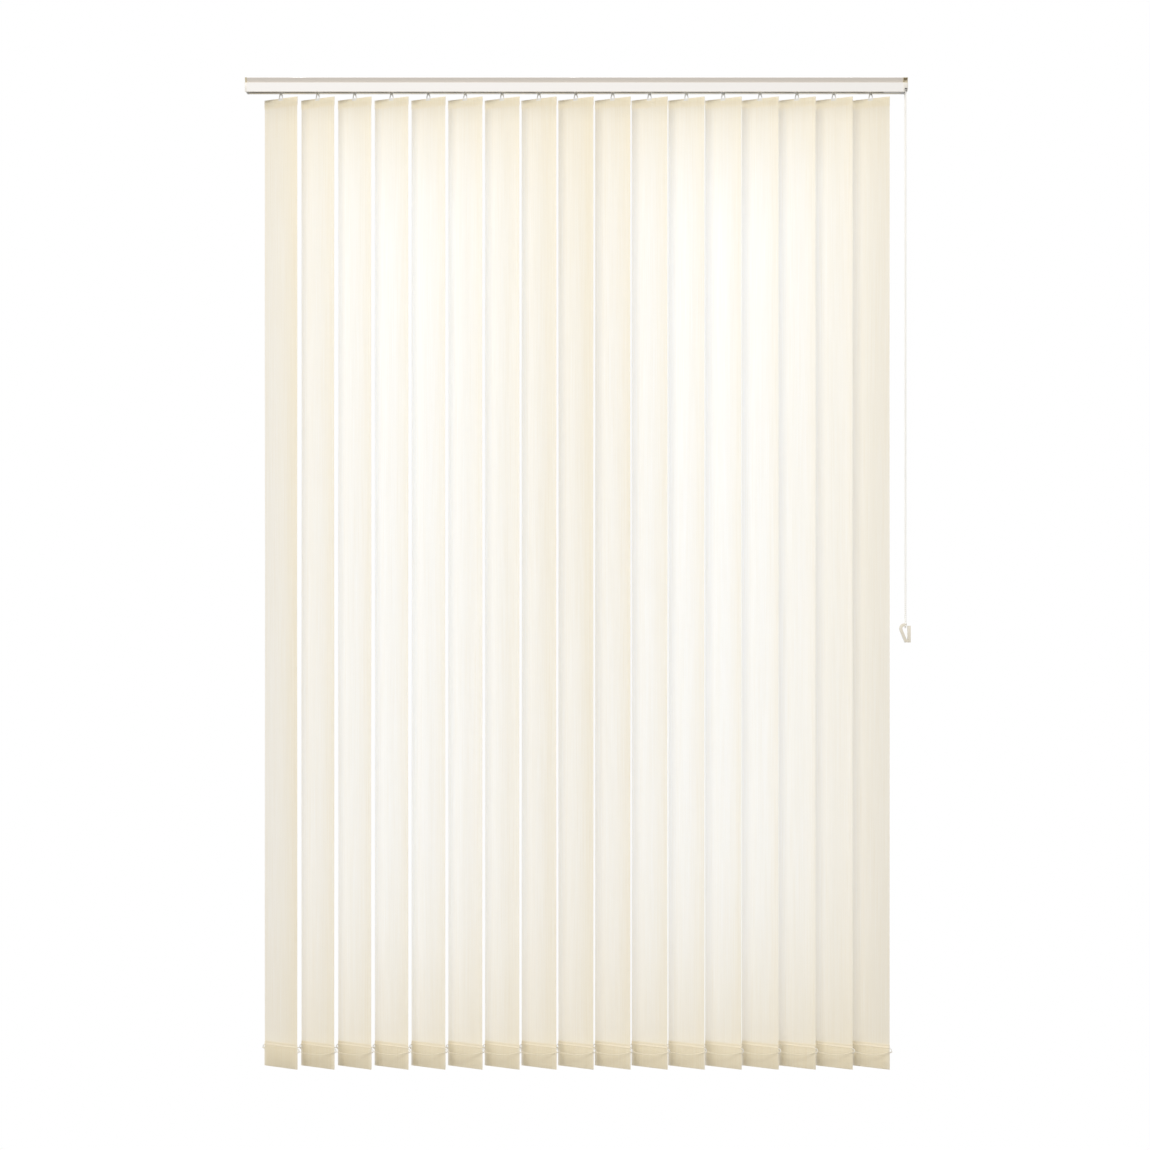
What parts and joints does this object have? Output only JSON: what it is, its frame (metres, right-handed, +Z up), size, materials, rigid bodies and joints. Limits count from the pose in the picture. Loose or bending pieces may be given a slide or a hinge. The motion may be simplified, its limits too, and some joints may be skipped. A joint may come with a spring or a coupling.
{
  "type": "vertical blind",
  "caption": "Vertical blind: cloth slats hung on geared carriers in a ceiling head rail, turned by a bead chain and drawn aside to one end.",
  "frame": {"origin": "on the ceiling, above the middle of the head rail: the top face of the middle bracket", "axes": "+X along the rail to the chain end, +Y towards the window, +Z up"},
  "size_m": [1.4406, 0.0472, 2.1472],
  "materials": {
    "rail": "satin",
    "caps": "satin",
    "steel": "satin",
    "rod": "satin",
    "chain": "gloss",
    "tidy": "satin",
    "carrier": "matte",
    "cloth": "matte",
    "fittings": "satin"
  },
  "bodies": {
    "rail_unit": {"head_rail": "rail", "idle_end_cap": "caps", "control_end_cap": "caps", "mounting_brackets": "steel", "carrier_01": "carrier", "bead_chain": "chain", "chain_tidy": "tidy"},
    "rod": {"tilt_rod": "rod"},
    "truck_02": {"carrier_02": "carrier"},
    "truck_03": {"carrier_03": "carrier"},
    "truck_04": {"carrier_04": "carrier"},
    "truck_05": {"carrier_05": "carrier"},
    "truck_06": {"carrier_06": "carrier"},
    "truck_07": {"carrier_07": "carrier"},
    "truck_08": {"carrier_08": "carrier"},
    "truck_09": {"carrier_09": "carrier"},
    "truck_10": {"carrier_10": "carrier"},
    "truck_11": {"carrier_11": "carrier"},
    "truck_12": {"carrier_12": "carrier"},
    "truck_13": {"carrier_13": "carrier"},
    "truck_14": {"carrier_14": "carrier"},
    "truck_15": {"carrier_15": "carrier"},
    "truck_16": {"carrier_16": "carrier"},
    "truck_17": {"carrier_17": "carrier"},
    "louvre_01": {"slat_01": "cloth", "fittings_01": "fittings"},
    "louvre_02": {"slat_02": "cloth", "fittings_02": "fittings"},
    "louvre_03": {"slat_03": "cloth", "fittings_03": "fittings"},
    "louvre_04": {"slat_04": "cloth", "fittings_04": "fittings"},
    "louvre_05": {"slat_05": "cloth", "fittings_05": "fittings"},
    "louvre_06": {"slat_06": "cloth", "fittings_06": "fittings"},
    "louvre_07": {"slat_07": "cloth", "fittings_07": "fittings"},
    "louvre_08": {"slat_08": "cloth", "fittings_08": "fittings"},
    "louvre_09": {"slat_09": "cloth", "fittings_09": "fittings"},
    "louvre_10": {"slat_10": "cloth", "fittings_10": "fittings"},
    "louvre_11": {"slat_11": "cloth", "fittings_11": "fittings"},
    "louvre_12": {"slat_12": "cloth", "fittings_12": "fittings"},
    "louvre_13": {"slat_13": "cloth", "fittings_13": "fittings"},
    "louvre_14": {"slat_14": "cloth", "fittings_14": "fittings"},
    "louvre_15": {"slat_15": "cloth", "fittings_15": "fittings"},
    "louvre_16": {"slat_16": "cloth", "fittings_16": "fittings"},
    "louvre_17": {"slat_17": "cloth", "fittings_17": "fittings"},
    "front_chain": {"front_bottom_chain": "chain"},
    "rear_chain": {"rear_bottom_chain": "chain"}
  },
  "joints": [
    {"name": "traverse", "type": "slide", "parent": "rail_unit", "child": "truck_17", "axis": [1, 0, 0], "range_m": [-0.96, 0], "deforming": ["front_bottom_chain", "rear_bottom_chain"]},
    {"name": "traverse_02", "type": "slide", "parent": "rail_unit", "child": "truck_02", "axis": [1, 0, 0], "range_m": [-0.06, 0]},
    {"name": "traverse_03", "type": "slide", "parent": "rail_unit", "child": "truck_03", "axis": [1, 0, 0], "range_m": [-0.12, 0]},
    {"name": "traverse_04", "type": "slide", "parent": "rail_unit", "child": "truck_04", "axis": [1, 0, 0], "range_m": [-0.18, 0]},
    {"name": "traverse_05", "type": "slide", "parent": "rail_unit", "child": "truck_05", "axis": [1, 0, 0], "range_m": [-0.24, 0]},
    {"name": "traverse_06", "type": "slide", "parent": "rail_unit", "child": "truck_06", "axis": [1, 0, 0], "range_m": [-0.3, 0]},
    {"name": "traverse_07", "type": "slide", "parent": "rail_unit", "child": "truck_07", "axis": [1, 0, 0], "range_m": [-0.36, 0]},
    {"name": "traverse_08", "type": "slide", "parent": "rail_unit", "child": "truck_08", "axis": [1, 0, 0], "range_m": [-0.42, 0]},
    {"name": "traverse_09", "type": "slide", "parent": "rail_unit", "child": "truck_09", "axis": [1, 0, 0], "range_m": [-0.48, 0]},
    {"name": "traverse_10", "type": "slide", "parent": "rail_unit", "child": "truck_10", "axis": [1, 0, 0], "range_m": [-0.54, 0]},
    {"name": "traverse_11", "type": "slide", "parent": "rail_unit", "child": "truck_11", "axis": [1, 0, 0], "range_m": [-0.6, 0]},
    {"name": "traverse_12", "type": "slide", "parent": "rail_unit", "child": "truck_12", "axis": [1, 0, 0], "range_m": [-0.66, 0]},
    {"name": "traverse_13", "type": "slide", "parent": "rail_unit", "child": "truck_13", "axis": [1, 0, 0], "range_m": [-0.72, 0]},
    {"name": "traverse_14", "type": "slide", "parent": "rail_unit", "child": "truck_14", "axis": [1, 0, 0], "range_m": [-0.78, 0]},
    {"name": "traverse_15", "type": "slide", "parent": "rail_unit", "child": "truck_15", "axis": [1, 0, 0], "range_m": [-0.84, 0]},
    {"name": "traverse_16", "type": "slide", "parent": "rail_unit", "child": "truck_16", "axis": [1, 0, 0], "range_m": [-0.9, 0]},
    {"name": "tilt", "type": "hinge", "parent": "rail_unit", "child": "louvre_01", "pos_m": [-0.6412, 0, -0.045], "axis": [0, 0, 1], "range_deg": [-142, 18], "deforming": ["front_bottom_chain", "rear_bottom_chain"]},
    {"name": "tilt_02", "type": "hinge", "parent": "truck_02", "child": "louvre_02", "pos_m": [-0.5612, 0, -0.045], "axis": [0, 0, 1], "range_deg": [-142, 18]},
    {"name": "tilt_03", "type": "hinge", "parent": "truck_03", "child": "louvre_03", "pos_m": [-0.4812, 0, -0.045], "axis": [0, 0, 1], "range_deg": [-142, 18]},
    {"name": "tilt_04", "type": "hinge", "parent": "truck_04", "child": "louvre_04", "pos_m": [-0.4012, 0, -0.045], "axis": [0, 0, 1], "range_deg": [-142, 18]},
    {"name": "tilt_05", "type": "hinge", "parent": "truck_05", "child": "louvre_05", "pos_m": [-0.3212, 0, -0.045], "axis": [0, 0, 1], "range_deg": [-142, 18]},
    {"name": "tilt_06", "type": "hinge", "parent": "truck_06", "child": "louvre_06", "pos_m": [-0.2412, 0, -0.045], "axis": [0, 0, 1], "range_deg": [-142, 18]},
    {"name": "tilt_07", "type": "hinge", "parent": "truck_07", "child": "louvre_07", "pos_m": [-0.1612, 0, -0.045], "axis": [0, 0, 1], "range_deg": [-142, 18]},
    {"name": "tilt_08", "type": "hinge", "parent": "truck_08", "child": "louvre_08", "pos_m": [-0.0812, 0, -0.045], "axis": [0, 0, 1], "range_deg": [-142, 18]},
    {"name": "tilt_09", "type": "hinge", "parent": "truck_09", "child": "louvre_09", "pos_m": [-0.0012, 0, -0.045], "axis": [0, 0, 1], "range_deg": [-142, 18]},
    {"name": "tilt_10", "type": "hinge", "parent": "truck_10", "child": "louvre_10", "pos_m": [0.0788, 0, -0.045], "axis": [0, 0, 1], "range_deg": [-142, 18]},
    {"name": "tilt_11", "type": "hinge", "parent": "truck_11", "child": "louvre_11", "pos_m": [0.1588, 0, -0.045], "axis": [0, 0, 1], "range_deg": [-142, 18]},
    {"name": "tilt_12", "type": "hinge", "parent": "truck_12", "child": "louvre_12", "pos_m": [0.2388, 0, -0.045], "axis": [0, 0, 1], "range_deg": [-142, 18]},
    {"name": "tilt_13", "type": "hinge", "parent": "truck_13", "child": "louvre_13", "pos_m": [0.3188, 0, -0.045], "axis": [0, 0, 1], "range_deg": [-142, 18]},
    {"name": "tilt_14", "type": "hinge", "parent": "truck_14", "child": "louvre_14", "pos_m": [0.3988, 0, -0.045], "axis": [0, 0, 1], "range_deg": [-142, 18]},
    {"name": "tilt_15", "type": "hinge", "parent": "truck_15", "child": "louvre_15", "pos_m": [0.4788, 0, -0.045], "axis": [0, 0, 1], "range_deg": [-142, 18]},
    {"name": "tilt_16", "type": "hinge", "parent": "truck_16", "child": "louvre_16", "pos_m": [0.5588, 0, -0.045], "axis": [0, 0, 1], "range_deg": [-142, 18]},
    {"name": "tilt_17", "type": "hinge", "parent": "truck_17", "child": "louvre_17", "pos_m": [0.6388, 0, -0.045], "axis": [0, 0, 1], "range_deg": [-142, 18]},
    {"name": "rod_turn", "type": "hinge", "parent": "rail_unit", "child": "rod", "pos_m": [0, -0.0076, -0.02145], "axis": [1, 0, 0], "range_deg": [-852, 108]},
    {"name": "front_chain_swing", "type": "hinge", "parent": "louvre_01", "child": "front_chain", "pos_m": [-0.59907, -0.0224, -2.1062], "axis": [0, 0, 1], "range_deg": [-18, 142]},
    {"name": "rear_chain_swing", "type": "hinge", "parent": "louvre_01", "child": "rear_chain", "pos_m": [-0.68333, 0.0224, -2.1062], "axis": [0, 0, 1], "range_deg": [-18, 142]}
  ],
  "couplings": [
    {"joint": "traverse_02", "follows": "traverse", "ratio": 0.0625},
    {"joint": "traverse_03", "follows": "traverse", "ratio": 0.125},
    {"joint": "traverse_04", "follows": "traverse", "ratio": 0.1875},
    {"joint": "traverse_05", "follows": "traverse", "ratio": 0.25},
    {"joint": "traverse_06", "follows": "traverse", "ratio": 0.3125},
    {"joint": "traverse_07", "follows": "traverse", "ratio": 0.375},
    {"joint": "traverse_08", "follows": "traverse", "ratio": 0.4375},
    {"joint": "traverse_09", "follows": "traverse", "ratio": 0.5},
    {"joint": "traverse_10", "follows": "traverse", "ratio": 0.5625},
    {"joint": "traverse_11", "follows": "traverse", "ratio": 0.625},
    {"joint": "traverse_12", "follows": "traverse", "ratio": 0.6875},
    {"joint": "traverse_13", "follows": "traverse", "ratio": 0.75},
    {"joint": "traverse_14", "follows": "traverse", "ratio": 0.8125},
    {"joint": "traverse_15", "follows": "traverse", "ratio": 0.875},
    {"joint": "traverse_16", "follows": "traverse", "ratio": 0.9375},
    {"joint": "tilt_02", "follows": "tilt", "ratio": 1},
    {"joint": "tilt_03", "follows": "tilt", "ratio": 1},
    {"joint": "tilt_04", "follows": "tilt", "ratio": 1},
    {"joint": "tilt_05", "follows": "tilt", "ratio": 1},
    {"joint": "tilt_06", "follows": "tilt", "ratio": 1},
    {"joint": "tilt_07", "follows": "tilt", "ratio": 1},
    {"joint": "tilt_08", "follows": "tilt", "ratio": 1},
    {"joint": "tilt_09", "follows": "tilt", "ratio": 1},
    {"joint": "tilt_10", "follows": "tilt", "ratio": 1},
    {"joint": "tilt_11", "follows": "tilt", "ratio": 1},
    {"joint": "tilt_12", "follows": "tilt", "ratio": 1},
    {"joint": "tilt_13", "follows": "tilt", "ratio": 1},
    {"joint": "tilt_14", "follows": "tilt", "ratio": 1},
    {"joint": "tilt_15", "follows": "tilt", "ratio": 1},
    {"joint": "tilt_16", "follows": "tilt", "ratio": 1},
    {"joint": "tilt_17", "follows": "tilt", "ratio": 1},
    {"joint": "rod_turn", "follows": "tilt", "ratio": 6},
    {"joint": "front_chain_swing", "follows": "tilt", "ratio": -1},
    {"joint": "rear_chain_swing", "follows": "tilt", "ratio": -1}
  ]
}
